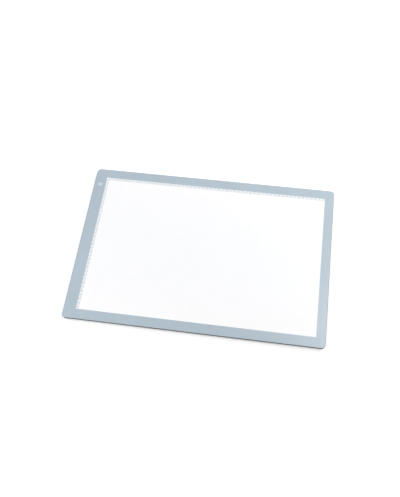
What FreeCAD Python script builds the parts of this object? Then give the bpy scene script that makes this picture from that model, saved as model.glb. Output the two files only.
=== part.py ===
import FreeCAD, Part
import math
import os
import re
import Sketcher

# A slim edge-lit light box for tracing: an opal panel with a printed border on a shallow
# moulded frame, closed from below by a screwed metal plate that stands on rubber feet.
# Millimetres. The origin is under the middle of the pad, on the table: +X runs along the
# pad's length, +Y to its rear edge and +Z up.

Vector = FreeCAD.Vector
doc = FreeCAD.newDocument("LightBox")

# ---------------------------------------------------------------- driving dimensions

SIZES = {
    # overall
    "pad_length": 601, "pad_depth": 398, "corner_radius": 9.5,
    "border_left": 29.4, "border_right": 21.7, "border_front": 23.6, "border_rear": 23.6,
    # thicknesses of the stack, from the table up
    "foot_height": 0.8, "plate_thickness": 1.0, "reflector_thickness": 0.2,
    "guide_thickness": 3.0, "diffuser_thickness": 0.5, "tape_thickness": 0.3,
    "panel_thickness": 2.0,
    # front panel
    "panel_bevel": 0.5, "panel_lower_bevel": 0.3,
    # frame
    "wall_thickness": 2.2, "rib_thickness": 1.5, "web_thickness": 1.2, "lip_thickness": 1.4,
    "frame_groove": 0.3, "frame_bottom_radius": 1.0, "boss_diameter": 5.6,
    # clearances
    "plate_clearance": 0.2, "sheet_clearance": 0.3, "screw_clearance": 0.1,
    "key_clearance": 0.3, "rim_clearance": 0.5, "plunger_clearance": 0.3,
    "tape_margin": 1.0, "inlet_clearance": 0.1, "wire_clearance": 0.05, "screw_tip_gap": 0.2,
    # light guide and its lighting
    "guide_margin": 4.0, "bumper_thickness": 0.8, "bumper_length": 12, "bumper_from_end": 60,
    "led_gap": 0.3, "led_thickness": 0.8, "led_length": 3.5, "led_height": 2.8,
    "led_pitch": 10, "strip_thickness": 1.0, "strip_height": 3.2, "strip_from_window": 5,
    # plate screws and feet
    "screw_head_diameter": 4.6, "screw_diameter": 2.4, "screw_reach": 3.2,
    "recess_width": 0.5, "recess_span": 2.4, "recess_depth": 0.5,
    "row_screws": 6, "right_screws": 4, "left_screws": 3, "screw_from_end": 50,
    "foot_diameter": 14, "foot_edge_radius": 0.4, "foot_columns": 4, "foot_from_end": 35,
    # power key
    "key_from_left": 15.0, "key_from_rear": 44.0, "key_diameter": 15.0, "key_proud": 0.3,
    "key_bevel": 0.4, "key_rim_width": 0.8, "key_rim_thickness": 0.7,
    "key_dish_diameter": 10.8, "key_dish_depth": 0.2, "key_travel": 0.5,
    # tact switch
    "switch_side": 5.0, "switch_height": 1.2, "plunger_diameter": 2.0, "plunger_foot": 0.1,
    # control board in the left border, placed from the rear edge
    "board_width": 17, "board_thickness": 0.8, "board_front": 116, "board_rear": 7.5,
    "board_clearance_below": 0.6, "insulator_thickness": 0.1,
    "bay_side_margin": 0.5, "bay_corner_radius": 3.0,
    "front_bay_start": 106, "front_bay_end": 72, "rear_bay_start": 60,
    "board_boss_front": 111, "board_boss_rear": 66, "board_boss_offset": 3.5,
    "board_screw_diameter": 1.8, "board_screw_head": 3.6, "board_screw_head_height": 0.5,
    # parts on the board
    "chip_length": 5.0, "chip_depth": 4.0, "chip_height": 1.5, "chip_from_rear": 87,
    "chip_spacing": 7, "coil_side": 6.0, "coil_height": 2.2, "coil_from_rear": 98,
    "coil_offset": 4.2, "coil_corner_radius": 1.2,
    "capacitor_length": 3.2, "capacitor_depth": 1.6, "capacitor_height": 1.3,
    "capacitor_pitch": 2.6, "capacitor_count": 3, "capacitor_from_rear": 30,
    "key_light_side": 1.6, "key_light_height": 0.8, "key_light_offset": 4.4,
    # leads to the lighting
    "socket_width": 4.4, "socket_depth": 4.0, "socket_height": 1.9, "plug_width": 3.8,
    "plug_depth": 2.0, "plug_height": 1.5, "front_plug_from_rear": 104,
    "rear_plug_from_rear": 21, "wire_diameter": 0.9, "wire_pitch": 1.5, "wire_offset": 4.8,
    "wire_from_rib": 1.6, "wire_bend": 3.0, "notch_width": 8, "lead_from_strip_end": 3,
    # low-voltage inlet in the rear wall
    "inlet_offset": -0.8, "inlet_width": 6.4, "inlet_depth": 10.8, "inlet_height": 3.5,
    "inlet_recess": 0.2, "inlet_wall_gap": 0.5, "nose_diameter": 3.4, "inlet_bore": 2.7,
    "inlet_bore_depth": 9.0, "inlet_pin_diameter": 0.7, "inlet_pin_recess": 1.2,
    "inlet_ear_width": 1.0, "inlet_ear_depth": 5.0, "inlet_ear_thickness": 0.5,
    "board_notch_clearance": 0.3,
}

sheet = doc.addObject("Spreadsheet::Sheet", "Sizes")
for row, (alias, size) in enumerate(SIZES.items(), start=1):
    sheet.set(f"A{row}", alias.replace("_", " "))
    sheet.set(f"B{row}", str(size))
    sheet.setAlias(f"B{row}", alias)
doc.recompute()

ALIAS = re.compile(r"\b(" + "|".join(SIZES) + r")\b")


def link(text):
    """An expression written in the sheet's aliases, as FreeCAD reads it."""
    return ALIAS.sub(r"Sizes.\1", str(text))


def value(text):
    """The number that an expression has at the sheet's present sizes."""
    return float(sheet.evalExpression(link(text)))


# ---------------------------------------------------------------- levels and plan areas

PLATE_LEVEL = "foot_height"
INSIDE_LEVEL = f"({PLATE_LEVEL} + plate_thickness)"
GUIDE_LEVEL = f"({INSIDE_LEVEL} + reflector_thickness)"
GUIDE_TOP = f"({GUIDE_LEVEL} + guide_thickness)"
WEB_TOP = f"({GUIDE_TOP} + diffuser_thickness)"
WEB_LEVEL = f"({WEB_TOP} - web_thickness)"
PANEL_LEVEL = f"({WEB_TOP} + tape_thickness)"
PANEL_TOP = f"({PANEL_LEVEL} + panel_thickness)"
BOARD_LEVEL = f"({INSIDE_LEVEL} + insulator_thickness + board_clearance_below)"
BOARD_TOP = f"({BOARD_LEVEL} + board_thickness)"
RIM_LEVEL = f"({PANEL_LEVEL} - key_rim_thickness)"
WIRE_LEVEL = f"({WEB_LEVEL} - wire_clearance - wire_diameter / 2)"
INLET_LEVEL = f"({INSIDE_LEVEL} + insulator_thickness)"
INLET_AXIS = f"({INLET_LEVEL} + inlet_height / 2)"


class Area:
    """A rectangle in plan whose four sides are expressions."""

    def __init__(self, left, right, front, rear):
        self.left, self.right, self.front, self.rear = left, right, front, rear
        self.length = f"({right} - {left})"
        self.depth = f"({rear} - {front})"
        self.middle = (f"(({left} + {right}) / 2)", f"(({front} + {rear}) / 2)")

    def grown(self, across, along=None):
        along = along or across
        return Area(f"({self.left} - ({across}))", f"({self.right} + ({across}))",
                    f"({self.front} - ({along}))", f"({self.rear} + ({along}))")


def area_at(x, y, length, depth):
    """An Area from its middle point and its two sides."""
    return Area(f"({x} - {length} / 2)", f"({x} + {length} / 2)",
                f"({y} - {depth} / 2)", f"({y} + {depth} / 2)")


PAD = Area("(-pad_length / 2)", "(pad_length / 2)", "(-pad_depth / 2)", "(pad_depth / 2)")
WINDOW = Area(f"({PAD.left} + border_left)", f"({PAD.right} - border_right)",
              f"({PAD.front} + border_front)", f"({PAD.rear} - border_rear)")
GUIDE = WINDOW.grown("guide_margin")
OPENING = GUIDE.grown("bumper_thickness", "led_gap + led_thickness + strip_thickness")
RIB = OPENING.grown("rib_thickness")
INNER = PAD.grown("-wall_thickness")
RABBET = PAD.grown("-lip_thickness")
PLATE = PAD.grown("-lip_thickness - plate_clearance")

REAR_ROW_Y = f"(({INNER.rear} + {RIB.rear}) / 2)"
FRONT_ROW_Y = f"(({INNER.front} + {RIB.front}) / 2)"
RIGHT_COLUMN_X = f"(({INNER.right} + {RIB.right}) / 2)"
BAY_X = f"(({INNER.left} + {RIB.left}) / 2)"
KEY_X = f"({PAD.left} + key_from_left)"
KEY_Y = f"({PAD.rear} - key_from_rear)"
RIM_DIAMETER = "(key_diameter + 2 * key_rim_width)"
WIRE_X = f"({BAY_X} + wire_offset)"
WIRE_Y = f"({RIB.rear} + wire_from_rib + wire_pitch / 2)"
LEAD_END_X = f"({WINDOW.left} + strip_from_window + lead_from_strip_end)"
INLET_X = f"({BAY_X} + inlet_offset)"
INLET_FACE = f"({INNER.rear} - inlet_wall_gap)"
BAY_WIDTH = "(board_width - 2 * bay_side_margin)"
HEAD_TAPER = "-atan((screw_head_diameter - screw_diameter) / 2 / plate_thickness)"


def from_rear(distance):
    return f"({PAD.rear} - {distance})"


def bay_area(start, end):
    """Part of the left border's bay, between two distances from the rear edge."""
    return Area(f"({BAY_X} - {BAY_WIDTH} / 2)", f"({BAY_X} + {BAY_WIDTH} / 2)",
                from_rear(start), from_rear(end))


# ---------------------------------------------------------------- modelling helpers

nodes = []


def new_body(label):
    body = doc.addObject("PartDesign::Body", label)
    body.Label = label
    body.AllowCompound = True
    nodes.append(body)
    return body


def origin_part(body, role):
    return next(part for part in body.Origin.OriginFeatures if part.Role == role)


def bind(thing, setting, text):
    thing.setExpression(setting, link(text))


def new_sketch(body, x, y, z, role="XY_Plane"):
    """An empty sketch whose origin lies at (x, y, z), parallel to one origin plane."""
    sketch = body.newObject("Sketcher::SketchObject", body.Label + "_sketch")
    sketch.AttachmentSupport = [(origin_part(body, role), "")]
    sketch.MapMode = "FlatFace"
    local = {"XY_Plane": (x, y, z), "XZ_Plane": (x, z, f"-({y})")}[role]
    for axis, text in zip("xyz", local):
        bind(sketch, f".AttachmentOffset.Base.{axis}", text)
    return sketch


def set_datum(sketch, name, constraint, text):
    sketch.addConstraint(constraint)
    sketch.renameConstraint(sketch.ConstraintCount - 1, name)
    bind(sketch, f"Constraints.{name}", text)


def draw_circle(sketch, diameter):
    radius = value(diameter) / 2
    circle = sketch.addGeometry(Part.Circle(Vector(), Vector(0, 0, 1), radius), False)
    sketch.addConstraint(Sketcher.Constraint("Coincident", circle, 3, -1, 1))
    set_datum(sketch, "diameter", Sketcher.Constraint("Diameter", circle, 2 * radius), diameter)


def draw_rectangle(sketch, length, depth):
    """A rectangle centred on the sketch's origin."""
    half_x, half_y = value(length) / 2, value(depth) / 2
    signs = [(-1, -1), (1, -1), (1, 1), (-1, 1)]
    corners = [Vector(half_x * sx, half_y * sy) for sx, sy in signs]
    for side in range(4):
        sketch.addGeometry(Part.LineSegment(corners[side], corners[(side + 1) % 4]), False)
    for side in range(4):
        sketch.addConstraint(Sketcher.Constraint("Coincident", side, 2, (side + 1) % 4, 1))
        sketch.addConstraint(Sketcher.Constraint(("Horizontal", "Vertical")[side % 2], side))
    sketch.addConstraint(Sketcher.Constraint("Symmetric", 0, 1, 1, 2, -1, 1))
    set_datum(sketch, "length", Sketcher.Constraint("DistanceX", 0, 1, 0, 2, 2 * half_x), length)
    set_datum(sketch, "depth", Sketcher.Constraint("DistanceY", 1, 1, 1, 2, 2 * half_y), depth)


def draw_rounded_rectangle(sketch, length, depth, radius):
    """A rectangle centred on the sketch's origin, with four equal round corners."""
    half_x, half_y, round_off = value(length) / 2, value(depth) / 2, value(radius)
    in_x, in_y = half_x - round_off, half_y - round_off
    sides = [((-in_x, -half_y), (in_x, -half_y)), ((half_x, -in_y), (half_x, in_y)),
             ((in_x, half_y), (-in_x, half_y)), ((-half_x, in_y), (-half_x, -in_y))]
    for start, end in sides:
        sketch.addGeometry(Part.LineSegment(Vector(*start), Vector(*end)), False)
    centres = [(in_x, -in_y), (in_x, in_y), (-in_x, in_y), (-in_x, -in_y)]
    for quarter, (x, y) in enumerate(centres):
        circle = Part.Circle(Vector(x, y), Vector(0, 0, 1), round_off)
        start = (quarter - 1) * math.pi / 2
        sketch.addGeometry(Part.ArcOfCircle(circle, start, start + math.pi / 2), False)
    for side in range(4):
        arc = 4 + side
        sketch.addConstraint(Sketcher.Constraint("Tangent", side, 2, arc, 1))
        sketch.addConstraint(Sketcher.Constraint("Tangent", arc, 2, (side + 1) % 4, 1))
        sketch.addConstraint(Sketcher.Constraint(("Horizontal", "Vertical")[side % 2], side))
    for arc in (5, 6, 7):
        sketch.addConstraint(Sketcher.Constraint("Equal", 4, arc))
    sketch.addConstraint(Sketcher.Constraint("Symmetric", 5, 3, 7, 3, -1, 1))
    set_datum(sketch, "length", Sketcher.Constraint("DistanceX", 3, 1, 1, 1, 2 * half_x), length)
    set_datum(sketch, "depth", Sketcher.Constraint("DistanceY", 0, 1, 2, 1, 2 * half_y), depth)
    set_datum(sketch, "radius", Sketcher.Constraint("Radius", 4, round_off), radius)


def solid_of(sketch, height, cut=False):
    """Pads a sketch upwards by height, or cuts the same space away."""
    body = sketch.getParentGeoFeatureGroup()
    feature = body.newObject("PartDesign::Pocket" if cut else "PartDesign::Pad", body.Label + "_step")
    feature.Profile = sketch
    bind(feature, "Length", height)
    feature.Reversed = cut
    doc.recompute()
    if feature.BaseFeature:
        added = feature.Shape.Volume - feature.BaseFeature.Shape.Volume
        if added >= 0 if cut else added <= 0:
            raise ValueError(f"{feature.Name} changes nothing")
    return feature


def block(body, area, bottom, height, radius=None, cut=False):
    """A pad or a cut with a rectangular plan."""
    sketch = new_sketch(body, *area.middle, bottom)
    if radius is None:
        draw_rectangle(sketch, area.length, area.depth)
    else:
        draw_rounded_rectangle(sketch, area.length, area.depth, radius)
    return solid_of(sketch, height, cut)


def disc(body, x, y, bottom, diameter, height, cut=False):
    """A pad or a cut with a round plan."""
    sketch = new_sketch(body, x, y, bottom)
    draw_circle(sketch, diameter)
    return solid_of(sketch, height, cut)


def rod(body, x, y, z, diameter, length, cut=False):
    """A round pad or cut that starts at y and runs forwards, to lower y."""
    sketch = new_sketch(body, x, y, z, "XZ_Plane")
    draw_circle(sketch, diameter)
    return solid_of(sketch, length, cut)


def edges_at(feature, height):
    """The names of a feature's edges that lie flat at one height."""
    level = value(height)
    names = []
    for number, edge in enumerate(feature.Shape.Edges, start=1):
        box = edge.BoundBox
        if abs(box.ZMin - level) < 1e-4 and abs(box.ZMax - level) < 1e-4:
            names.append(f"Edge{number}")
    return names


def soften(body, feature, height, size, kind="Chamfer"):
    """A chamfer, or with kind Fillet a round, along a feature's edges at one height."""
    edge = body.newObject(f"PartDesign::{kind}", body.Label + "_edge")
    edge.Base = (feature, edges_at(feature, height))
    bind(edge, "Radius" if kind == "Fillet" else "Size", size)
    body.Tip = edge
    doc.recompute()
    return edge


def repeat(body, features, steps):
    """Repeats features in a body: steps are (axis, count, span) rows or a plane's role."""
    multi = body.newObject("PartDesign::MultiTransform", body.Label + "_pattern")
    transformations = []
    for step in steps:
        if isinstance(step, str):
            part = body.newObject("PartDesign::Mirrored", body.Label + "_mirror")
            part.MirrorPlane = (origin_part(body, step), [""])
        else:
            axis, count, span = step
            part = body.newObject("PartDesign::LinearPattern", body.Label + "_row")
            part.Direction = (origin_part(body, axis), [""])
            part.Mode = "Extent"
            bind(part, "Length", span)
            bind(part, "Occurrences", count)
        transformations.append(part)
    multi.Originals = features
    multi.Transformations = transformations
    body.Tip = multi
    doc.recompute()
    return multi


def at_plate_screws(body, make):
    """Calls make(x, y) at the first screw of each row, and repeats what it returns."""
    span_x = "(pad_length - 2 * screw_from_end)"
    span_y = "(pad_depth - 2 * screw_from_end)"
    first_x = f"({PAD.left} + screw_from_end)"
    first_y = f"({PAD.front} + screw_from_end)"
    left_span = f"({span_y} * (left_screws - 1) / (right_screws - 1))"
    for row_y in (REAR_ROW_Y, FRONT_ROW_Y):
        repeat(body, make(first_x, row_y), [("X_Axis", "row_screws", span_x)])
    repeat(body, make(RIGHT_COLUMN_X, first_y), [("Y_Axis", "right_screws", span_y)])
    repeat(body, make(BAY_X, first_y), [("Y_Axis", "left_screws", left_span)])


# ---------------------------------------------------------------- panel, frame and plate

def make_front_panel():
    body = new_body("front_panel")
    slab = block(body, PAD, PANEL_LEVEL, "panel_thickness", "corner_radius")
    top = soften(body, slab, PANEL_TOP, "panel_bevel")
    soften(body, top, PANEL_LEVEL, "panel_lower_bevel")
    hole = "key_diameter + 2 * key_clearance"
    disc(body, KEY_X, KEY_Y, PANEL_LEVEL, hole, "panel_thickness", cut=True)


def make_housing_frame():
    body = new_body("housing_frame")
    channel_height = f"({WEB_LEVEL} - {INSIDE_LEVEL})"
    slab = block(body, PAD, PLATE_LEVEL, f"{PANEL_LEVEL} - {PLATE_LEVEL}", "corner_radius")
    rounded = soften(body, slab, PLATE_LEVEL, "frame_bottom_radius", "Fillet")
    soften(body, rounded, PANEL_LEVEL, "frame_groove")
    inner_radius = "(corner_radius - wall_thickness)"
    block(body, RABBET, PLATE_LEVEL, "plate_thickness", "corner_radius - lip_thickness", cut=True)
    block(body, INNER, INSIDE_LEVEL, channel_height, inner_radius, cut=True)
    block(body, INNER, WEB_TOP, "tape_thickness", inner_radius, cut=True)
    block(body, RIB, INSIDE_LEVEL, channel_height)
    at_plate_screws(body, lambda x, y: [
        disc(body, x, y, INSIDE_LEVEL, "boss_diameter", channel_height)])
    block(body, OPENING, INSIDE_LEVEL, f"{WEB_TOP} - {INSIDE_LEVEL}", cut=True)
    hole = "screw_diameter + 2 * screw_clearance"
    at_plate_screws(body, lambda x, y: [
        disc(body, x, y, INSIDE_LEVEL, hole, "screw_reach", cut=True)])
    make_board_seats(body)
    make_lead_notches(body)
    inlet_hole = "nose_diameter + 2 * inlet_clearance"
    rod(body, INLET_X, PAD.rear, INLET_AXIS, inlet_hole, "wall_thickness + inlet_wall_gap",
        cut=True)


def make_board_seats(body):
    """Cuts the web over the board's tall parts, and gives it two screw bosses."""
    seat = f"({WEB_LEVEL} - {BOARD_TOP})"
    front = bay_area("front_bay_start", "front_bay_end")
    rear = bay_area("rear_bay_start", "(wall_thickness + inlet_wall_gap)")
    for cut in (front, rear):
        block(body, cut, WEB_LEVEL, "web_thickness", "bay_corner_radius", cut=True)
    disc(body, KEY_X, KEY_Y, WEB_LEVEL, f"{RIM_DIAMETER} + 2 * rim_clearance",
         "web_thickness", cut=True)
    x = f"({BAY_X} - board_boss_offset)"
    hole = "board_screw_diameter + 2 * screw_clearance"
    for distance in ("board_boss_front", "board_boss_rear"):
        disc(body, x, from_rear(distance), BOARD_TOP, "boss_diameter", seat)
        disc(body, x, from_rear(distance), BOARD_TOP, hole, f"{seat} + web_thickness / 2", cut=True)


def make_lead_notches(body):
    """Cuts the long ribs where the leads reach the ends of the lighting strips."""
    for y in (f"({RIB.rear} - rib_thickness / 2)", f"({RIB.front} + rib_thickness / 2)"):
        notch = area_at(LEAD_END_X, y, "notch_width", "rib_thickness")
        block(body, notch, INSIDE_LEVEL, f"{WEB_LEVEL} - {INSIDE_LEVEL}", cut=True)


def make_back_plate():
    body = new_body("back_plate")
    radius = "corner_radius - lip_thickness - plate_clearance"
    block(body, PLATE, PLATE_LEVEL, "plate_thickness", radius)
    at_plate_screws(body, lambda x, y: [countersink(body, x, y)])


def countersink(body, x, y):
    """A conical cut through the plate, a clearance wider than the screw's head."""
    sketch = new_sketch(body, x, y, PLATE_LEVEL)
    draw_circle(sketch, "screw_head_diameter + 2 * screw_clearance")
    cone = solid_of(sketch, "plate_thickness", cut=True)
    bind(cone, "TaperAngle", HEAD_TAPER)
    doc.recompute()
    return cone


def make_plate_screws():
    body = new_body("back_plate_screws")
    at_plate_screws(body, lambda x, y: plate_screw(body, x, y))


def plate_screw(body, x, y):
    """A countersunk screw, head down, with a cross recess."""
    head_sketch = new_sketch(body, x, y, PLATE_LEVEL)
    draw_circle(head_sketch, "screw_head_diameter")
    head = solid_of(head_sketch, "plate_thickness")
    bind(head, "TaperAngle", HEAD_TAPER)
    shank = disc(body, x, y, PLATE_LEVEL, "screw_diameter",
                 "plate_thickness + screw_reach - screw_tip_gap")
    recess = [block(body, area_at(x, y, *sides), PLATE_LEVEL, "recess_depth", cut=True)
              for sides in (("recess_width", "recess_span"), ("recess_span", "recess_width"))]
    return [head, shank] + recess


def make_rubber_feet():
    body = new_body("rubber_feet")
    x = f"({PAD.left} + foot_from_end)"
    y = f"({PAD.rear} - foot_from_end)"
    foot = disc(body, x, y, "0", "foot_diameter", "foot_height")
    rounded = soften(body, foot, "0", "foot_edge_radius", "Fillet")
    span = "pad_length - 2 * foot_from_end"
    repeat(body, [foot, rounded], [("X_Axis", "foot_columns", span), "XZ_Plane"])


def make_panel_tape():
    """Four straight strips, which stop short of the rear left bay."""
    body = new_body("panel_tape")
    outer = INNER.grown("-tape_margin")
    inner = OPENING.grown("tape_margin")
    strips = (
        Area(f"({PAD.left} + corner_radius)", f"({PAD.right} - corner_radius)", outer.front,
             inner.front),
        Area(inner.left, f"({PAD.right} - corner_radius)", inner.rear, outer.rear),
        Area(inner.right, outer.right, OPENING.front, OPENING.rear),
        Area(outer.left, inner.left, OPENING.front, from_rear("board_front")),
    )
    for strip in strips:
        block(body, strip, WEB_TOP, "tape_thickness")


# ---------------------------------------------------------------- light guide and lighting

def make_optical_stack():
    layers = (
        ("reflector_sheet", OPENING.grown("-sheet_clearance"), INSIDE_LEVEL, "reflector_thickness"),
        ("light_guide", GUIDE, GUIDE_LEVEL, "guide_thickness"),
        ("diffuser_sheet", GUIDE, GUIDE_TOP, "diffuser_thickness"),
    )
    for label, area, level, thickness in layers:
        block(new_body(label), area, level, thickness)


def make_guide_bumpers():
    body = new_body("guide_bumpers")
    y = f"({GUIDE.front} + bumper_from_end)"
    span = f"({GUIDE.depth} - 2 * bumper_from_end)"
    for x in (f"({GUIDE.left} - bumper_thickness / 2)", f"({GUIDE.right} + bumper_thickness / 2)"):
        area = area_at(x, y, "bumper_thickness", "bumper_length")
        bumper = block(body, area, GUIDE_LEVEL, "guide_thickness")
        repeat(body, [bumper], [("Y_Axis", "2", span)])


def make_lighting(side, sign):
    """The strip and its LEDs along one long edge: sign is 1 at the rear, -1 at the front."""
    reach = f"(({GUIDE.depth}) / 2 + led_gap)"
    led_y = f"({GUIDE.middle[1]} + {sign} * ({reach} + led_thickness / 2))"
    strip_y = f"({GUIDE.middle[1]} + {sign} * ({reach} + led_thickness + strip_thickness / 2))"
    strip_length = f"({WINDOW.length} - 2 * strip_from_window)"
    strip = area_at(WINDOW.middle[0], strip_y, strip_length, "strip_thickness")
    block(new_body(f"{side}_led_strip"), strip, GUIDE_LEVEL, "strip_height")

    body = new_body(f"{side}_leds")
    gaps = f"(floor({strip_length} / led_pitch) - 1)"
    first_x = f"({WINDOW.middle[0]} - {gaps} * led_pitch / 2)"
    level = f"({GUIDE_LEVEL} + (guide_thickness - led_height) / 2)"
    led = block(body, area_at(first_x, led_y, "led_length", "led_thickness"), level, "led_height")
    repeat(body, [led], [("X_Axis", f"{gaps} + 1", f"{gaps} * led_pitch")])


# ---------------------------------------------------------------- power key and its switch

def make_power_key():
    body = new_body("power_key")
    disc(body, KEY_X, KEY_Y, RIM_LEVEL, RIM_DIAMETER, "key_rim_thickness")
    head = disc(body, KEY_X, KEY_Y, PANEL_LEVEL, "key_diameter", "panel_thickness + key_proud")
    top = f"({PANEL_TOP} + key_proud)"
    soften(body, head, top, "key_bevel")
    disc(body, KEY_X, KEY_Y, f"({top} - key_dish_depth)", "key_dish_diameter",
         "key_dish_depth", cut=True)


def make_switch():
    body = new_body("switch_body")
    block(body, area_at(KEY_X, KEY_Y, "switch_side", "switch_side"), BOARD_TOP, "switch_height")
    hole = "plunger_diameter + 2 * plunger_clearance"
    well = "(key_travel + plunger_foot + plunger_clearance)"
    disc(body, KEY_X, KEY_Y, f"({BOARD_TOP} + switch_height - {well})", hole, well, cut=True)
    plunger = new_body("switch_plunger")
    level = f"({BOARD_TOP} + switch_height - plunger_foot)"
    disc(plunger, KEY_X, KEY_Y, level, "plunger_diameter", f"{RIM_LEVEL} - {level}")


def make_key_lights():
    body = new_body("key_lights")
    x = f"({KEY_X} - key_light_offset)"
    area = area_at(x, KEY_Y, "key_light_side", "key_light_side")
    light = block(body, area, BOARD_TOP, "key_light_height")
    repeat(body, [light], [("X_Axis", "2", "2 * key_light_offset")])


# ---------------------------------------------------------------- control board

def make_control_board():
    body = new_body("control_board")
    board = Area(f"({BAY_X} - board_width / 2)", f"({BAY_X} + board_width / 2)",
                 from_rear("board_front"), from_rear("board_rear"))
    block(body, board, BOARD_LEVEL, "board_thickness")
    notch_width = "(inlet_width + 2 * board_notch_clearance)"
    notch_front = f"({INLET_FACE} - inlet_depth - board_notch_clearance)"
    notch = Area(f"({INLET_X} - {notch_width} / 2)", f"({INLET_X} + {notch_width} / 2)",
                 notch_front, board.rear)
    block(body, notch, BOARD_LEVEL, "board_thickness", cut=True)
    x = f"({BAY_X} - board_boss_offset)"
    for distance in ("board_boss_front", "board_boss_rear"):
        disc(body, x, from_rear(distance), BOARD_LEVEL,
             "board_screw_diameter + 2 * screw_clearance", "board_thickness", cut=True)
    block(new_body("board_insulator"), board, INSIDE_LEVEL, "insulator_thickness")


def make_board_screws():
    body = new_body("board_screws")
    x = f"({BAY_X} - board_boss_offset)"
    reach = f"(board_thickness + {WEB_LEVEL} - {BOARD_TOP})"
    head_level = f"({BOARD_LEVEL} - board_screw_head_height)"
    for distance in ("board_boss_front", "board_boss_rear"):
        disc(body, x, from_rear(distance), head_level, "board_screw_head",
             "board_screw_head_height")
        disc(body, x, from_rear(distance), BOARD_LEVEL, "board_screw_diameter", reach)


def make_board_parts():
    chips = new_body("driver_chips")
    chip_area = area_at(BAY_X, from_rear("chip_from_rear"), "chip_length", "chip_depth")
    chip = block(chips, chip_area, BOARD_TOP, "chip_height")
    repeat(chips, [chip], [("Y_Axis", "2", "chip_spacing")])

    coil = new_body("driver_coil")
    coil_area = area_at(f"({BAY_X} - coil_offset)", from_rear("coil_from_rear"), "coil_side",
                        "coil_side")
    block(coil, coil_area, BOARD_TOP, "coil_height", "coil_corner_radius")

    capacitors = new_body("board_capacitors")
    capacitor_area = area_at(f"({BAY_X} - coil_offset)", from_rear("capacitor_from_rear"),
                             "capacitor_length", "capacitor_depth")
    capacitor = block(capacitors, capacitor_area, BOARD_TOP, "capacitor_height")
    span = "(capacitor_count - 1) * capacitor_pitch"
    repeat(capacitors, [capacitor], [("Y_Axis", "capacitor_count", span)])


# ---------------------------------------------------------------- leads to the lighting

# The front plug faces forwards and the rear plug backwards: (mouth's distance from the
# pad's rear edge, direction in which the wires leave it).
PLUGS = (("front_plug_from_rear", -1), ("rear_plug_from_rear", 1))


def make_lead_connectors():
    sockets = new_body("lead_sockets")
    plugs = new_body("lead_plugs")
    for mouth, way in PLUGS:
        plug_y = f"({from_rear(mouth)} - {way} * plug_depth / 2)"
        socket_y = f"({from_rear(mouth)} - {way} * (plug_depth + socket_depth / 2))"
        block(plugs, area_at(WIRE_X, plug_y, "plug_width", "plug_depth"), BOARD_TOP,
              "plug_height")
        block(sockets, area_at(WIRE_X, socket_y, "socket_width", "socket_depth"), BOARD_TOP,
              "socket_height")


def wire_solid(mouth, way, lane):
    """One wire from a plug along the bay, round the rib's corner and into the notch.

    lane is 1 for the outer wire of a pair and -1 for the inner one, so that the two
    stay side by side round both bends.
    """
    shift = lane * value("wire_pitch") / 2
    x_bay = value(WIRE_X) - shift
    x_end = value(LEAD_END_X) + shift
    middle = value(GUIDE.middle[1])
    y_row = middle + way * (value(WIRE_Y) - middle + shift)
    y_end = middle + way * (value(OPENING.rear) - middle)
    level = value(WIRE_LEVEL)
    bend = value("wire_bend")
    start = Vector(x_bay, value(from_rear(mouth)), level)
    first_turn = Vector(x_bay, y_row, level)
    second_turn = Vector(x_end, y_row, level)
    end = Vector(x_end, y_end, level)
    return tube([start, first_turn, second_turn, end], bend, value("wire_diameter") / 2)


def tube(points, bend, radius):
    """A round tube along straight runs joined by tangent arcs."""
    edges = []
    last = points[0]
    for before, corner, after in zip(points, points[1:], points[2:]):
        arrive = (corner - before).normalize()
        leave = (after - corner).normalize()
        size = min(bend, 0.45 * (corner - before).Length, 0.45 * (after - corner).Length)
        arc_start = corner - arrive * size
        arc_end = corner + leave * size
        centre = arc_start + leave * size
        middle = centre + (corner - centre).normalize() * size
        edges.append(Part.LineSegment(last, arc_start).toShape())
        edges.append(Part.Arc(arc_start, middle, arc_end).toShape())
        last = arc_end
    edges.append(Part.LineSegment(last, points[-1]).toShape())
    spine = Part.Wire(edges)
    circle = Part.Circle(points[0], points[1] - points[0], radius).toShape()
    return spine.makePipeShell([Part.Wire(circle)], True, False)


def make_leads():
    for label, lane in (("positive_leads", 1), ("negative_leads", -1)):
        lead = doc.addObject("Part::Feature", label)
        lead.Label = label
        lead.Shape = Part.makeCompound([wire_solid(mouth, way, lane) for mouth, way in PLUGS])
        lead.Placement = FreeCAD.Placement()
        nodes.append(lead)


# ---------------------------------------------------------------- low-voltage inlet

def make_inlet():
    body = new_body("inlet_body")
    y = f"({INLET_FACE} - inlet_depth / 2)"
    block(body, area_at(INLET_X, y, "inlet_width", "inlet_depth"), INLET_LEVEL, "inlet_height")
    ear_y = f"({INLET_FACE} - inlet_depth + inlet_ear_depth / 2)"
    ears = area_at(INLET_X, ear_y, "(inlet_width + 2 * inlet_ear_width)", "inlet_ear_depth")
    block(body, ears, BOARD_TOP, "inlet_ear_thickness")
    mouth = f"({PAD.rear} - inlet_recess)"
    rod(body, INLET_X, mouth, INLET_AXIS, "nose_diameter", f"{mouth} - {INLET_FACE}")
    rod(body, INLET_X, mouth, INLET_AXIS, "inlet_bore", "inlet_bore_depth", cut=True)

    pin = new_body("inlet_pin")
    pin_length = "inlet_bore_depth - inlet_pin_recess"
    rod(pin, INLET_X, f"({mouth} - inlet_pin_recess)", INLET_AXIS, "inlet_pin_diameter", pin_length)


# ---------------------------------------------------------------- build, check and write

def check_document():
    doc.recompute()
    for thing in doc.Objects:
        if "Invalid" in thing.State or "Error" in thing.State:
            raise RuntimeError(f"{thing.Name} failed: {thing.State}")
    for node in nodes:
        if node.Shape.isNull() or not node.Shape.isValid():
            raise RuntimeError(f"{node.Label} has no valid shape")


def write_steps():
    os.makedirs("parts", exist_ok=True)
    for node in nodes:
        node.Shape.exportStep(f"parts/{node.Label}.step")
        print(f"{node.Label}: {len(node.Shape.Solids)} solids, {node.Shape.Volume:.1f} mm3")


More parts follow.
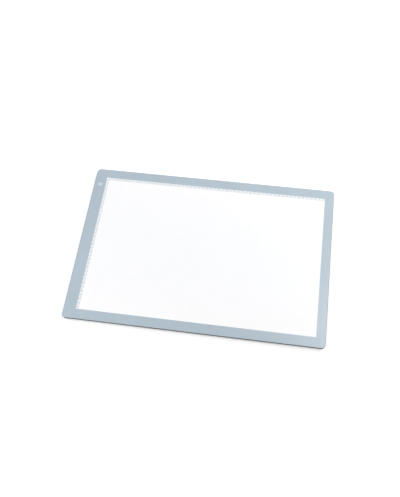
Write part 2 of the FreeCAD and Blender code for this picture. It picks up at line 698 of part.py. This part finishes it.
make_front_panel()
make_housing_frame()
make_back_plate()
make_plate_screws()
make_rubber_feet()
make_panel_tape()
make_optical_stack()
make_guide_bumpers()
make_lighting("rear", 1)
make_lighting("front", -1)
make_power_key()
make_switch()
make_key_lights()
make_control_board()
make_board_screws()
make_board_parts()
make_lead_connectors()
make_leads()
make_inlet()
check_document()
write_steps()
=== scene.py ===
import math

import bmesh
import bpy
from mathutils import Matrix, Vector


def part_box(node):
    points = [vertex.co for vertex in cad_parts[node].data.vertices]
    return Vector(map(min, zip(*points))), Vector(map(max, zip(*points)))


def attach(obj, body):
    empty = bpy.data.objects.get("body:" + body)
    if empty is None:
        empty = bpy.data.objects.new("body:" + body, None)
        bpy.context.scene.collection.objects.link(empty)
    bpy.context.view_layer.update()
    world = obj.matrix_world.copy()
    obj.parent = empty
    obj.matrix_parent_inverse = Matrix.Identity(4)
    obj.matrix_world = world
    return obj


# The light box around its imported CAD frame. Metres; the row frame has +X along the pad,
# +Y to its rear edge and +Z up, with the table at z = 0.

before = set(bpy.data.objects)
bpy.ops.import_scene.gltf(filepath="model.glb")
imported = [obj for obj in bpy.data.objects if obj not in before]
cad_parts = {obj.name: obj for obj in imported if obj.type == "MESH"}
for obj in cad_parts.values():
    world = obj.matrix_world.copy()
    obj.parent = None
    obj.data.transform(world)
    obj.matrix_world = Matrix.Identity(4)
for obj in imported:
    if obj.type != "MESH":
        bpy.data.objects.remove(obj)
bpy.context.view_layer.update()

MM = 0.001

# ---------------------------------------------------------------- places, from the frame

PANEL_LOW, PANEL_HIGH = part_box("front_panel")
GUIDE_LOW, GUIDE_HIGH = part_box("light_guide")
KEY_LOW, KEY_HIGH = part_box("power_key")
PANEL_TOP = PANEL_HIGH.z
KEY_TOP = KEY_HIGH.z
KEY_X = (KEY_LOW.x + KEY_HIGH.x) / 2
KEY_Y = (KEY_LOW.y + KEY_HIGH.y) / 2

GUIDE_MARGIN = 4 * MM        # how far the light guide runs on under the border
WINDOW_LEFT = GUIDE_LOW.x + GUIDE_MARGIN
WINDOW_RIGHT = GUIDE_HIGH.x - GUIDE_MARGIN
WINDOW_FRONT = GUIDE_LOW.y + GUIDE_MARGIN
WINDOW_REAR = GUIDE_HIGH.y - GUIDE_MARGIN
WINDOW_OUTLINE = ((WINDOW_LEFT, WINDOW_FRONT), (WINDOW_RIGHT, WINDOW_FRONT),
                  (WINDOW_RIGHT, WINDOW_REAR), (WINDOW_LEFT, WINDOW_REAR))

# ---------------------------------------------------------------- sizes of the print

CORNER_RADIUS = 9.5 * MM     # of the panel's outline
PANEL_BEVEL = 0.5 * MM
KEY_HOLE_RADIUS = 7.8 * MM
INK_EDGE = 0.15 * MM         # bare rim that the ink leaves at the bevel and the key's hole
INK_THICKNESS = 0.05 * MM
FILM_THICKNESS = 0.02 * MM
LAYER_SEAM = 0.05            # part of a layer's thickness within which its corners are joined

RULER_DEPTH = 5.7 * MM       # from the border to the ruler's measuring edge
RULER_ZERO = 6.4 * MM        # from the window's corner to the ruler's zero
RULER_LINE = 0.45 * MM       # width of the line along the measuring edge
TICK_PITCH = 1 * MM
NUMBERED = 10                # every tenth tick has a numeral between it and the border
NUMERAL_COVER = 1            # how many ticks a numeral covers on each side of its own
BELOW_NUMERAL = 1.9 * MM     # how far the ticks below a numeral reach from the measuring edge
TICKS = (                    # each kind's spacing in pitches, width and reach
    (NUMBERED, 1.5 * MM, BELOW_NUMERAL),
    (5, 0.4 * MM, 5.2 * MM),
    (1, 0.18 * MM, 4.7 * MM),
)
NUMERAL_SIZE = Vector((3.6, 3.0)) * MM    # width and height of two digits
NUMERAL_FROM_BORDER = 1.9 * MM            # to the numeral's middle
NUMERAL_WEIGHT = 0.15 * MM                # added on each side of a stroke
NUMERAL_STEPS = 2            # straight steps in each curved piece of a digit's outline
NUMERAL_SEAM = 0.004 * MM    # a digit's corners that are closer than this are joined

KEY_DISH_DEPTH = 0.2 * MM
SYMBOL_RADIUS = 2.6 * MM
SYMBOL_LINE = 0.7 * MM
SYMBOL_GAP = math.radians(70)
SYMBOL_BAR = 2.9 * MM

CORNER_STEPS = 12            # straight steps in a quarter turn of the panel's outline
CIRCLE_STEPS = 64
SYMBOL_STEPS = 40


# ---------------------------------------------------------------- material building

NOISE_LOW, NOISE_HIGH = 0.3, 0.7    # most of a noise texture's values lie between these
MOTTLE_GRAINS = 14           # width of the colour's mottling, in grains
GLOSS_GRAINS = 6             # width of the gloss's patches, in grains
GLOSS_CHANGE = 0.15          # of the roughness, either way


class Finish:
    """A Principled material whose patterns are worked out from the row frame's metres."""

    def __init__(self, name, colour, roughness, **settings):
        self.material = bpy.data.materials.new(name)
        self.material.use_nodes = True
        self.nodes = self.material.node_tree.nodes
        self.links = self.material.node_tree.links
        self.shader = self.nodes["Principled BSDF"]
        self.shader.inputs["Base Color"].default_value = (*colour, 1)
        self.shader.inputs["Roughness"].default_value = roughness
        for socket, value in settings.items():
            self.shader.inputs[socket.replace("_", " ")].default_value = value
        self.place = self.nodes.new("ShaderNodeTexCoord").outputs["Object"]
        self.material.diffuse_color = (*colour, 1)

    def join(self, source, target):
        self.links.new(source, target)

    def stretched(self, scale):
        """The place with each axis multiplied, so that a small scale draws a pattern out."""
        mapping = self.nodes.new("ShaderNodeMapping")
        mapping.inputs["Scale"].default_value = scale
        self.join(self.place, mapping.inputs["Vector"])
        return mapping.outputs["Vector"]

    def noise(self, size, detail=2, stretch=None):
        """Noise whose features are about size metres across."""
        texture = self.nodes.new("ShaderNodeTexNoise")
        texture.inputs["Scale"].default_value = 1 / size
        texture.inputs["Detail"].default_value = detail
        self.join(self.stretched(stretch) if stretch else self.place, texture.inputs["Vector"])
        return texture.outputs["Fac"]

    def cells(self, size):
        """Rounded pits about size metres apart."""
        texture = self.nodes.new("ShaderNodeTexVoronoi")
        texture.inputs["Scale"].default_value = 1 / size
        self.join(self.place, texture.inputs["Vector"])
        return texture.outputs["Distance"]

    def bricks(self, size, joint):
        """0 on bricks about size metres across, and 1 in the joints between them."""
        texture = self.nodes.new("ShaderNodeTexBrick")
        for socket, value in (("Color1", 0), ("Color2", 0), ("Mortar", 1)):
            texture.inputs[socket].default_value = (value, value, value, 1)
        texture.inputs["Scale"].default_value = 1 / size
        texture.inputs["Mortar Size"].default_value = joint
        self.join(self.place, texture.inputs["Vector"])
        return texture.outputs["Color"]

    def distance_from_middle(self):
        """How far a place is from the pad's middle line, to the front or the rear."""
        split = self.nodes.new("ShaderNodeSeparateXYZ")
        self.join(self.place, split.inputs["Vector"])
        across = self.nodes.new("ShaderNodeMath")
        across.operation = "ABSOLUTE"
        self.join(split.outputs["Y"], across.inputs["Value"])
        return across.outputs["Value"]

    def ranged(self, source, low, high, start=NOISE_LOW, end=NOISE_HIGH):
        """Turns the range from start to end into the range from low to high."""
        node = self.nodes.new("ShaderNodeMapRange")
        for socket, value in (("From Min", start), ("From Max", end), ("To Min", low),
                              ("To Max", high)):
            node.inputs[socket].default_value = value
        self.join(source, node.inputs["Value"])
        return node.outputs["Result"]

    def blend(self, factor, first, second):
        node = self.nodes.new("ShaderNodeMix")
        node.data_type = "RGBA"
        node.inputs["A"].default_value = (*first, 1)
        node.inputs["B"].default_value = (*second, 1)
        self.join(factor, node.inputs["Factor"])
        return node.outputs["Result"]

    def colour(self, source, first, second, start=NOISE_LOW, end=NOISE_HIGH):
        spread = self.ranged(source, 0, 1, start, end)
        self.join(self.blend(spread, first, second), self.shader.inputs["Base Color"])

    def mottle(self, source, colour, change):
        """Makes the colour darker and lighter by a part of itself."""
        self.colour(source, shade(colour, 1 - change), shade(colour, 1 + change))

    def rough(self, source, low, high):
        self.join(self.ranged(source, low, high), self.shader.inputs["Roughness"])

    def bump(self, source, height, strength=0.5):
        node = self.nodes.new("ShaderNodeBump")
        node.inputs["Strength"].default_value = strength
        node.inputs["Distance"].default_value = height
        self.join(source, node.inputs["Height"])
        self.join(node.outputs["Normal"], self.shader.inputs["Normal"])

    def clear_from_behind(self):
        """Makes the surface opaque from its front only."""
        geometry = self.nodes.new("ShaderNodeNewGeometry")
        clear = self.nodes.new("ShaderNodeBsdfTransparent")
        mix = self.nodes.new("ShaderNodeMixShader")
        factor, front, behind = mix.inputs
        self.join(geometry.outputs["Backfacing"], factor)
        self.join(self.shader.outputs["BSDF"], front)
        self.join(clear.outputs["BSDF"], behind)
        self.join(mix.outputs["Shader"], self.nodes["Material Output"].inputs["Surface"])


def shade(colour, factor):
    return tuple(channel * factor for channel in colour)


def make_plain(name, colour, roughness, grain, change, height, **settings):
    """A moulded or coated surface: slight mottling, uneven gloss and a fine grain."""
    finish = Finish(name, colour, roughness, **settings)
    finish.mottle(finish.noise(grain * MOTTLE_GRAINS, detail=3), colour, change)
    finish.rough(finish.noise(grain * GLOSS_GRAINS), low=roughness * (1 - GLOSS_CHANGE),
                 high=min(1, roughness * (1 + GLOSS_CHANGE)))
    finish.bump(finish.noise(grain, detail=3), height)
    return finish.material


# ---------------------------------------------------------------- the materials

def make_ink():
    """Screen-printed border: satin, very slightly mottled, with a fine print grain."""
    colour = (0.408, 0.490, 0.556)
    finish = Finish("border_ink", colour, 0.34, Specular_IOR_Level=1.0, Coat_Weight=0.55,
                    Coat_Roughness=0.2)
    finish.mottle(finish.noise(60 * MM, detail=3), colour, change=0.025)
    finish.rough(finish.noise(1.5 * MM), low=0.30, high=0.40)
    finish.bump(finish.noise(0.35 * MM, detail=3), height=0.004 * MM, strength=0.4)
    return finish.material


def make_window_film():
    """The lit window: matt opal white, glowing a little more beside the long edges."""
    white = (0.66, 0.66, 0.67)
    glow_in_middle = (0.94, 0.97, 1.0)
    glow_at_edge = (1.0, 1.0, 1.0)
    finish = Finish("lit_opal", white, 0.45, Emission_Strength=0.239)
    finish.mottle(finish.noise(25 * MM), white, change=0.008)
    edge = finish.ranged(finish.distance_from_middle(), low=0, high=1, start=0, end=WINDOW_REAR)
    finish.join(finish.blend(edge, glow_in_middle, glow_at_edge),
                finish.shader.inputs["Emission Color"])
    finish.rough(finish.noise(2 * MM), low=0.42, high=0.52)
    finish.bump(finish.noise(0.25 * MM), height=0.004 * MM, strength=0.3)
    return finish.material


def make_plate_metal():
    """Clear-anodised aluminium sheet, brushed along the pad's length."""
    colour = (0.74, 0.75, 0.76)
    finish = Finish("brushed_plate", colour, 0.36, Metallic=1.0)
    brushing = finish.noise(0.5 * MM, detail=4, stretch=(0.012, 1, 1))
    finish.colour(brushing, shade(colour, 0.90), shade(colour, 1.06))
    finish.rough(finish.noise(90 * MM), low=0.31, high=0.41)
    finish.bump(brushing, height=0.01 * MM, strength=0.35)
    return finish.material


def make_housing_plastic():
    """Charcoal moulded plastic with an eroded tool texture."""
    colour = (0.040, 0.042, 0.046)
    finish = Finish("housing_plastic", colour, 0.5)
    finish.mottle(finish.noise(8 * MM, detail=3), colour, change=0.12)
    finish.rough(finish.noise(1.2 * MM), low=0.44, high=0.58)
    finish.bump(finish.noise(0.3 * MM, detail=4), height=0.03 * MM)
    return finish.material


def make_rubber():
    """Matt black rubber with a pitted skin."""
    colour = (0.022, 0.022, 0.024)
    finish = Finish("foot_rubber", colour, 0.78)
    finish.colour(finish.noise(3 * MM, detail=3), shade(colour, 0.8), shade(colour, 1.35))
    finish.rough(finish.noise(0.8 * MM), low=0.70, high=0.86)
    finish.bump(finish.cells(0.6 * MM), height=0.05 * MM)
    return finish.material


def make_circuit():
    """Green solder mask with lighter copper runs under it."""
    mask = (0.012, 0.105, 0.045)
    finish = Finish("circuit_mask", mask, 0.32, Coat_Weight=0.4)
    runs = finish.bricks(4 * MM, joint=0.035)
    finish.colour(runs, mask, shade(mask, 1.9), start=0, end=1)
    finish.bump(runs, height=0.03 * MM)
    finish.rough(finish.noise(2 * MM), low=0.28, high=0.38)
    return finish.material


PLAIN_FINISHES = {           # each one's colour, roughness, grain, change of colour and depth
    # The panel's acrylic is given a dark grey: painted shade on its bare bevel and edges, in
    # place of clear acrylic in shade with the dark housing seen through it.
    "panel_acrylic_painted_shade": ((0.085, 0.09, 0.095), 0.16, 0.6 * MM, 0.02, 0.003 * MM),
    "key_plastic": ((0.52, 0.61, 0.67), 0.30, 0.4 * MM, 0.02, 0.005 * MM),
    "screw_steel": ((0.34, 0.34, 0.35), 0.34, 0.3 * MM, 0.12, 0.006 * MM),
    "foam_tape": ((0.78, 0.78, 0.75), 0.85, 0.5 * MM, 0.05, 0.05 * MM),
    "white_film": ((0.88, 0.88, 0.87), 0.4, 1 * MM, 0.02, 0.005 * MM),
    "clear_acrylic": ((0.90, 0.95, 0.95), 0.08, 1.5 * MM, 0.02, 0.002 * MM),
    "silicone": ((0.72, 0.72, 0.70), 0.7, 0.6 * MM, 0.06, 0.03 * MM),
    "package_resin": ((0.020, 0.020, 0.022), 0.55, 0.25 * MM, 0.15, 0.02 * MM),
    "fired_ceramic": ((0.42, 0.30, 0.19), 0.45, 0.2 * MM, 0.10, 0.01 * MM),
    "led_phosphor": ((0.86, 0.74, 0.28), 0.4, 0.3 * MM, 0.06, 0.01 * MM),
    "connector_nylon": ((0.80, 0.77, 0.68), 0.48, 0.3 * MM, 0.05, 0.01 * MM),
    "red_sleeve": ((0.46, 0.018, 0.015), 0.42, 0.5 * MM, 0.10, 0.01 * MM),
    "black_sleeve": ((0.016, 0.016, 0.017), 0.42, 0.5 * MM, 0.15, 0.01 * MM),
    "contact_plating": ((0.78, 0.74, 0.64), 0.22, 0.3 * MM, 0.06, 0.004 * MM),
}
PLAIN_SETTINGS = {
    "panel_acrylic_painted_shade": {"Coat_Weight": 0.3},
    "screw_steel": {"Metallic": 1.0},
    "clear_acrylic": {"Transmission_Weight": 0.7, "IOR": 1.49},
    "contact_plating": {"Metallic": 1.0},
}
INK = make_ink()
LIT_OPAL = make_window_film()
CAD_MATERIALS = {
    "brushed_plate": make_plate_metal(),
    "housing_plastic": make_housing_plastic(),
    "foot_rubber": make_rubber(),
    "circuit_mask": make_circuit(),
}
for finish_name, look in PLAIN_FINISHES.items():
    CAD_MATERIALS[finish_name] = make_plain(finish_name, *look,
                                            **PLAIN_SETTINGS.get(finish_name, {}))

NODE_FINISHES = {
    "front_panel": "panel_acrylic_painted_shade", "power_key": "key_plastic",
    "housing_frame": "housing_plastic", "panel_tape": "foam_tape",
    "back_plate": "brushed_plate", "back_plate_screws": "screw_steel",
    "rubber_feet": "foot_rubber", "reflector_sheet": "white_film",
    "light_guide": "clear_acrylic", "diffuser_sheet": "white_film",
    "guide_bumpers": "silicone", "rear_led_strip": "circuit_mask",
    "front_led_strip": "circuit_mask", "rear_leds": "led_phosphor",
    "front_leds": "led_phosphor", "control_board": "circuit_mask",
    "board_insulator": "white_film", "board_screws": "screw_steel",
    "switch_body": "package_resin", "switch_plunger": "connector_nylon",
    "key_lights": "led_phosphor", "driver_chips": "package_resin",
    "driver_coil": "package_resin", "board_capacitors": "fired_ceramic",
    "lead_sockets": "connector_nylon", "lead_plugs": "connector_nylon",
    "positive_leads": "red_sleeve", "negative_leads": "black_sleeve",
    "inlet_body": "package_resin", "inlet_pin": "contact_plating",
}


def dress_cad_nodes():
    """Gives every CAD node its finish."""
    for name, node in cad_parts.items():
        material = CAD_MATERIALS[NODE_FINISHES[name]]
        for slot in node.material_slots:
            slot.material = material
        if not node.material_slots:
            node.data.materials.append(material)


# ---------------------------------------------------------------- printed pieces

def add_piece(name, mesh, material, body):
    piece = bpy.data.objects.new(name, mesh)
    bpy.context.scene.collection.objects.link(piece)
    mesh.materials.clear()
    mesh.materials.append(material)
    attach(piece, body)


def arc(x, y, radius, start, sweep, steps):
    """Points on a part of a circle, both ends included."""
    turns = [start + sweep * step / steps for step in range(steps + 1)]
    return [(x + radius * math.cos(turn), y + radius * math.sin(turn)) for turn in turns]


def circle(x, y, radius):
    return arc(x, y, radius, 0, 2 * math.pi, CIRCLE_STEPS)[:-1]


def rounded_outline(low, high, radius):
    """Points round a rectangle with round corners, anticlockwise."""
    centres = ((high.x - radius, low.y + radius), (high.x - radius, high.y - radius),
               (low.x + radius, high.y - radius), (low.x + radius, low.y + radius))
    quarter = math.pi / 2
    points = []
    for corner, (x, y) in enumerate(centres):
        points += arc(x, y, radius, (corner - 1) * quarter, quarter, CORNER_STEPS)
    return points


def close_seams(mesh, gap):
    """Joins the front, back and sides of a flat shape into a closed solid."""
    build = bmesh.new()
    build.from_mesh(mesh)
    bmesh.ops.remove_doubles(build, verts=build.verts, dist=gap)
    bmesh.ops.dissolve_degenerate(build, edges=build.edges, dist=gap)
    bmesh.ops.recalc_face_normals(build, faces=build.faces)
    build.to_mesh(mesh)
    build.free()


def mesh_from_curve(curve, gap):
    """Turns a flat curve with a depth into a closed mesh, and removes the curve."""
    holder = bpy.data.objects.new(curve.name, curve)
    mesh = bpy.data.meshes.new_from_object(holder)
    bpy.data.objects.remove(holder)
    bpy.data.curves.remove(curve)
    close_seams(mesh, gap)
    return mesh


def layer_mesh(name, outlines, level, thickness):
    """A flat closed layer with a filled plan: inner outlines are holes."""
    curve = bpy.data.curves.new(name, "CURVE")
    curve.dimensions = "2D"
    curve.fill_mode = "BOTH"
    curve.extrude = thickness / 2
    for outline in outlines:
        spline = curve.splines.new("POLY")
        spline.points.add(len(outline) - 1)
        for point, (x, y) in zip(spline.points, outline):
            point.co = (x, y, 0, 1)
        spline.use_cyclic_u = True
    mesh = mesh_from_curve(curve, thickness * LAYER_SEAM)
    mesh.transform(Matrix.Translation((0, 0, level + thickness / 2)))
    return mesh


def make_border():
    """The printed border, with the window left open and a bare ring round the key."""
    inset = PANEL_BEVEL + INK_EDGE
    low = PANEL_LOW + Vector((inset, inset, 0))
    high = PANEL_HIGH - Vector((inset, inset, 0))
    outlines = [rounded_outline(low, high, CORNER_RADIUS - inset), WINDOW_OUTLINE,
                circle(KEY_X, KEY_Y, KEY_HOLE_RADIUS + INK_EDGE)]
    mesh = layer_mesh("border_print", outlines, PANEL_TOP, INK_THICKNESS)
    add_piece("border_print", mesh, INK, "pad")


def make_window():
    """The lit window's matt face, which ends where the border's ink begins."""
    mesh = layer_mesh("lit_window", [WINDOW_OUTLINE], PANEL_TOP, FILM_THICKNESS)
    add_piece("lit_window", mesh, LIT_OPAL, "pad")


def add_box(build, low, high):
    """A closed box in a bmesh, from its lowest to its highest corner."""
    size = Vector(high) - Vector(low)
    middle = (Vector(high) + Vector(low)) / 2
    place = Matrix.Translation(middle) @ Matrix.Diagonal((*size, 1))
    bmesh.ops.create_cube(build, size=1, matrix=place)


def numeral_mesh(digits):
    """Plain printed digits as a flat mesh, and the mesh's lowest and highest corners."""
    text = bpy.data.curves.new("numeral", "FONT")
    text.body = digits
    text.size = NUMERAL_SIZE.y
    text.offset = NUMERAL_WEIGHT
    text.resolution_u = NUMERAL_STEPS
    text.extrude = (INK_THICKNESS - FILM_THICKNESS / 2) / 2
    mesh = mesh_from_curve(text, NUMERAL_SEAM)
    low, high = (Vector(pick(vertex.co[axis] for vertex in mesh.vertices) for axis in range(3))
                 for pick in (min, max))
    return mesh, low, high


def add_numerals(build, middles):
    """Adds the numerals 0, 1, 2 and so on, the middle of each at one of the places."""
    mesh, low, high = numeral_mesh("00")
    bpy.data.meshes.remove(mesh)
    scale = Matrix.Diagonal((NUMERAL_SIZE.x / (high.x - low.x),
                             NUMERAL_SIZE.y / (high.y - low.y), 1, 1))
    level = PANEL_TOP + (INK_THICKNESS + FILM_THICKNESS / 2) / 2
    for number, (x, y) in enumerate(middles):
        mesh, low, high = numeral_mesh(str(number))
        centred = Matrix.Translation(-(low + high) / 2)
        mesh.transform(Matrix.Translation((x, y, level)) @ scale @ centred)
        build.from_mesh(mesh)
        bpy.data.meshes.remove(mesh)


def make_ruler(name, length, place):
    """One ruler: place(along, across) turns its own measures into a point on the panel.

    along runs from the rulers' common zero, and across from the measuring edge to the border.
    """
    build = bmesh.new()
    level = PANEL_TOP + FILM_THICKNESS / 2
    top = PANEL_TOP + INK_THICKNESS
    tick_count = int(length / TICK_PITCH) + 1

    def add_mark(along_start, along_end, across_start, across_end):
        first = place(along_start, across_start)
        last = place(along_end, across_end)
        low = [min(pair) for pair in zip(first, last)]
        high = [max(pair) for pair in zip(first, last)]
        add_box(build, (*low, level), (*high, top))

    first_tick_width = TICKS[0][1]
    add_mark(-first_tick_width / 2, length, -RULER_LINE / 2, RULER_LINE / 2)
    for number in range(tick_count):
        width, reach = next(tick[1:] for tick in TICKS if number % tick[0] == 0)
        if min(number % NUMBERED, -number % NUMBERED) <= NUMERAL_COVER:
            reach = BELOW_NUMERAL
        along = number * TICK_PITCH
        add_mark(along - width / 2, along + width / 2, RULER_LINE / 2, reach)
    add_numerals(build, [place(number * TICK_PITCH, RULER_DEPTH - NUMERAL_FROM_BORDER)
                         for number in range(0, tick_count, NUMBERED)])
    mesh = bpy.data.meshes.new(name)
    build.to_mesh(mesh)
    build.free()
    add_piece(name, mesh, INK, "pad")


def make_rulers():
    zero_x = WINDOW_LEFT + RULER_ZERO
    zero_y = WINDOW_REAR - RULER_ZERO
    edge_x = WINDOW_LEFT + RULER_DEPTH
    edge_y = WINDOW_REAR - RULER_DEPTH
    make_ruler("rear_ruler", WINDOW_RIGHT - zero_x,
               lambda along, across: (zero_x + along, edge_y + across))
    make_ruler("left_ruler", zero_y - WINDOW_FRONT,
               lambda along, across: (edge_x - across, zero_y - along))


def make_key_symbol():
    """A broken ring with a short bar in the break, inlaid in the key's dish."""
    half = SYMBOL_LINE / 2
    start = math.pi / 2 + SYMBOL_GAP / 2
    sweep = 2 * math.pi - SYMBOL_GAP
    outer, inner = (arc(KEY_X, KEY_Y, radius, start, sweep, SYMBOL_STEPS)
                    for radius in (SYMBOL_RADIUS + half, SYMBOL_RADIUS - half))
    ring = outer + inner[::-1]
    bar = [(KEY_X - half, KEY_Y), (KEY_X + half, KEY_Y), (KEY_X + half, KEY_Y + SYMBOL_BAR),
           (KEY_X - half, KEY_Y + SYMBOL_BAR)]
    mesh = layer_mesh("key_symbol", [ring, bar], KEY_TOP - KEY_DISH_DEPTH, INK_THICKNESS)
    add_piece("key_symbol", mesh, INK, "key")


# ---------------------------------------------------------------- floor, light and camera

FLOOR_SIZE = 8.0
FLOOR_GLOW = 0.26
WORLD_STRENGTH = 0.132
SOFTBOXES = {                # each one's place, width and height, and power in watts
    "front_left_softbox": ((-1.3, -1.0, 2.2), (1.2, 1.2), 15.4),
    "overhead_left_softbox": ((-1.3, 0.4, 2.2), (1.2, 1.2), 1.5),
    "overhead_rear_softbox": ((0, 1.8, 2.2), (1.2, 1.2), 1.9),
    "overhead_right_softbox": ((1.3, 0.4, 2.2), (1.2, 1.2), 29.8),
    "overhead_rear_right_softbox": ((1.3, 1.8, 2.2), (1.2, 1.2), 4),
    "low_rear_right_softbox": ((1.6, 2.2, 0.7), (1.2, 0.8), 45),
    "low_rear_left_softbox": ((-2.2, 1.3, 0.7), (1.6, 0.8), 43),
    "low_right_softbox": ((2.4, 0, 0.7), (1.6, 0.8), 1.3),
    "near_right_softbox": ((0.9, 0.5, 0.3), (0.6, 0.3), 1.6),
    "far_rear_softbox": ((0.6, 3.6, 0.6), (1.2, 0.5), 11),
    "near_front_left_softbox": ((-0.9, -0.8, 0.35), (0.5, 0.3), 4.8),
}
REFLECTED_HEIGHT = 1.0       # lights below this only fill, and show in no gloss
CAMERA_PLACE = Vector((0.1443, -0.5254, 1.2480))
CAMERA_VIEW = Vector((-0.08736, 0.39581, -0.91417))
CAMERA_RIGHT = Vector((0.99048, 0.13252, -0.03727))
CAMERA_LENS = 41.171         # millimetres
CAMERA_SHIFT = -0.0289


def make_floor():
    """A pale sheet of paper that can't be seen from below."""
    half = FLOOR_SIZE / 2
    mesh = bpy.data.meshes.new("floor")
    mesh.from_pydata([(-half, -half, 0), (half, -half, 0), (half, half, 0), (-half, half, 0)],
                     [], [(0, 1, 2, 3)])
    floor = bpy.data.objects.new("floor", mesh)
    bpy.context.scene.collection.objects.link(floor)
    paper = (0.90, 0.90, 0.90)
    finish = Finish("floor_paper", paper, 0.9, Emission_Color=(1, 1, 1, 1),
                    Emission_Strength=FLOOR_GLOW)
    finish.mottle(finish.noise(400 * MM), paper, change=0.005)
    finish.clear_from_behind()
    mesh.materials.append(finish.material)


def add_area_light(name, place, size, power):
    """A rectangular light that faces the pad's middle."""
    data = bpy.data.lights.new(name, "AREA")
    data.shape = "RECTANGLE"
    data.size, data.size_y = size
    data.energy = power
    light = bpy.data.objects.new(name, data)
    light.location = place
    light.rotation_mode = "QUATERNION"
    light.rotation_quaternion = (-Vector(place)).to_track_quat("-Z", "Y")
    light.visible_glossy = light.location.z > REFLECTED_HEIGHT
    bpy.context.scene.collection.objects.link(light)


def make_lights():
    world = bpy.data.worlds.new("studio")
    world.use_nodes = True
    background = world.node_tree.nodes["Background"]
    background.inputs["Color"].default_value = (1, 1, 1, 1)
    background.inputs["Strength"].default_value = WORLD_STRENGTH
    bpy.context.scene.world = world
    for name, (place, size, power) in SOFTBOXES.items():
        add_area_light(name, place, size, power)


def make_camera():
    data = bpy.data.cameras.new("camera")
    data.lens = CAMERA_LENS
    data.shift_x = CAMERA_SHIFT
    camera = bpy.data.objects.new("camera", data)
    view = CAMERA_VIEW.normalized()
    up = CAMERA_RIGHT.cross(view).normalized()
    axes = Matrix((view.cross(up), up, -view)).transposed()
    camera.matrix_world = Matrix.Translation(CAMERA_PLACE) @ axes.to_4x4()
    bpy.context.scene.collection.objects.link(camera)
    bpy.context.scene.camera = camera


bpy.context.scene.view_settings.view_transform = "Standard"
dress_cad_nodes()
make_border()
make_window()
make_rulers()
make_key_symbol()
make_floor()
make_lights()
make_camera()
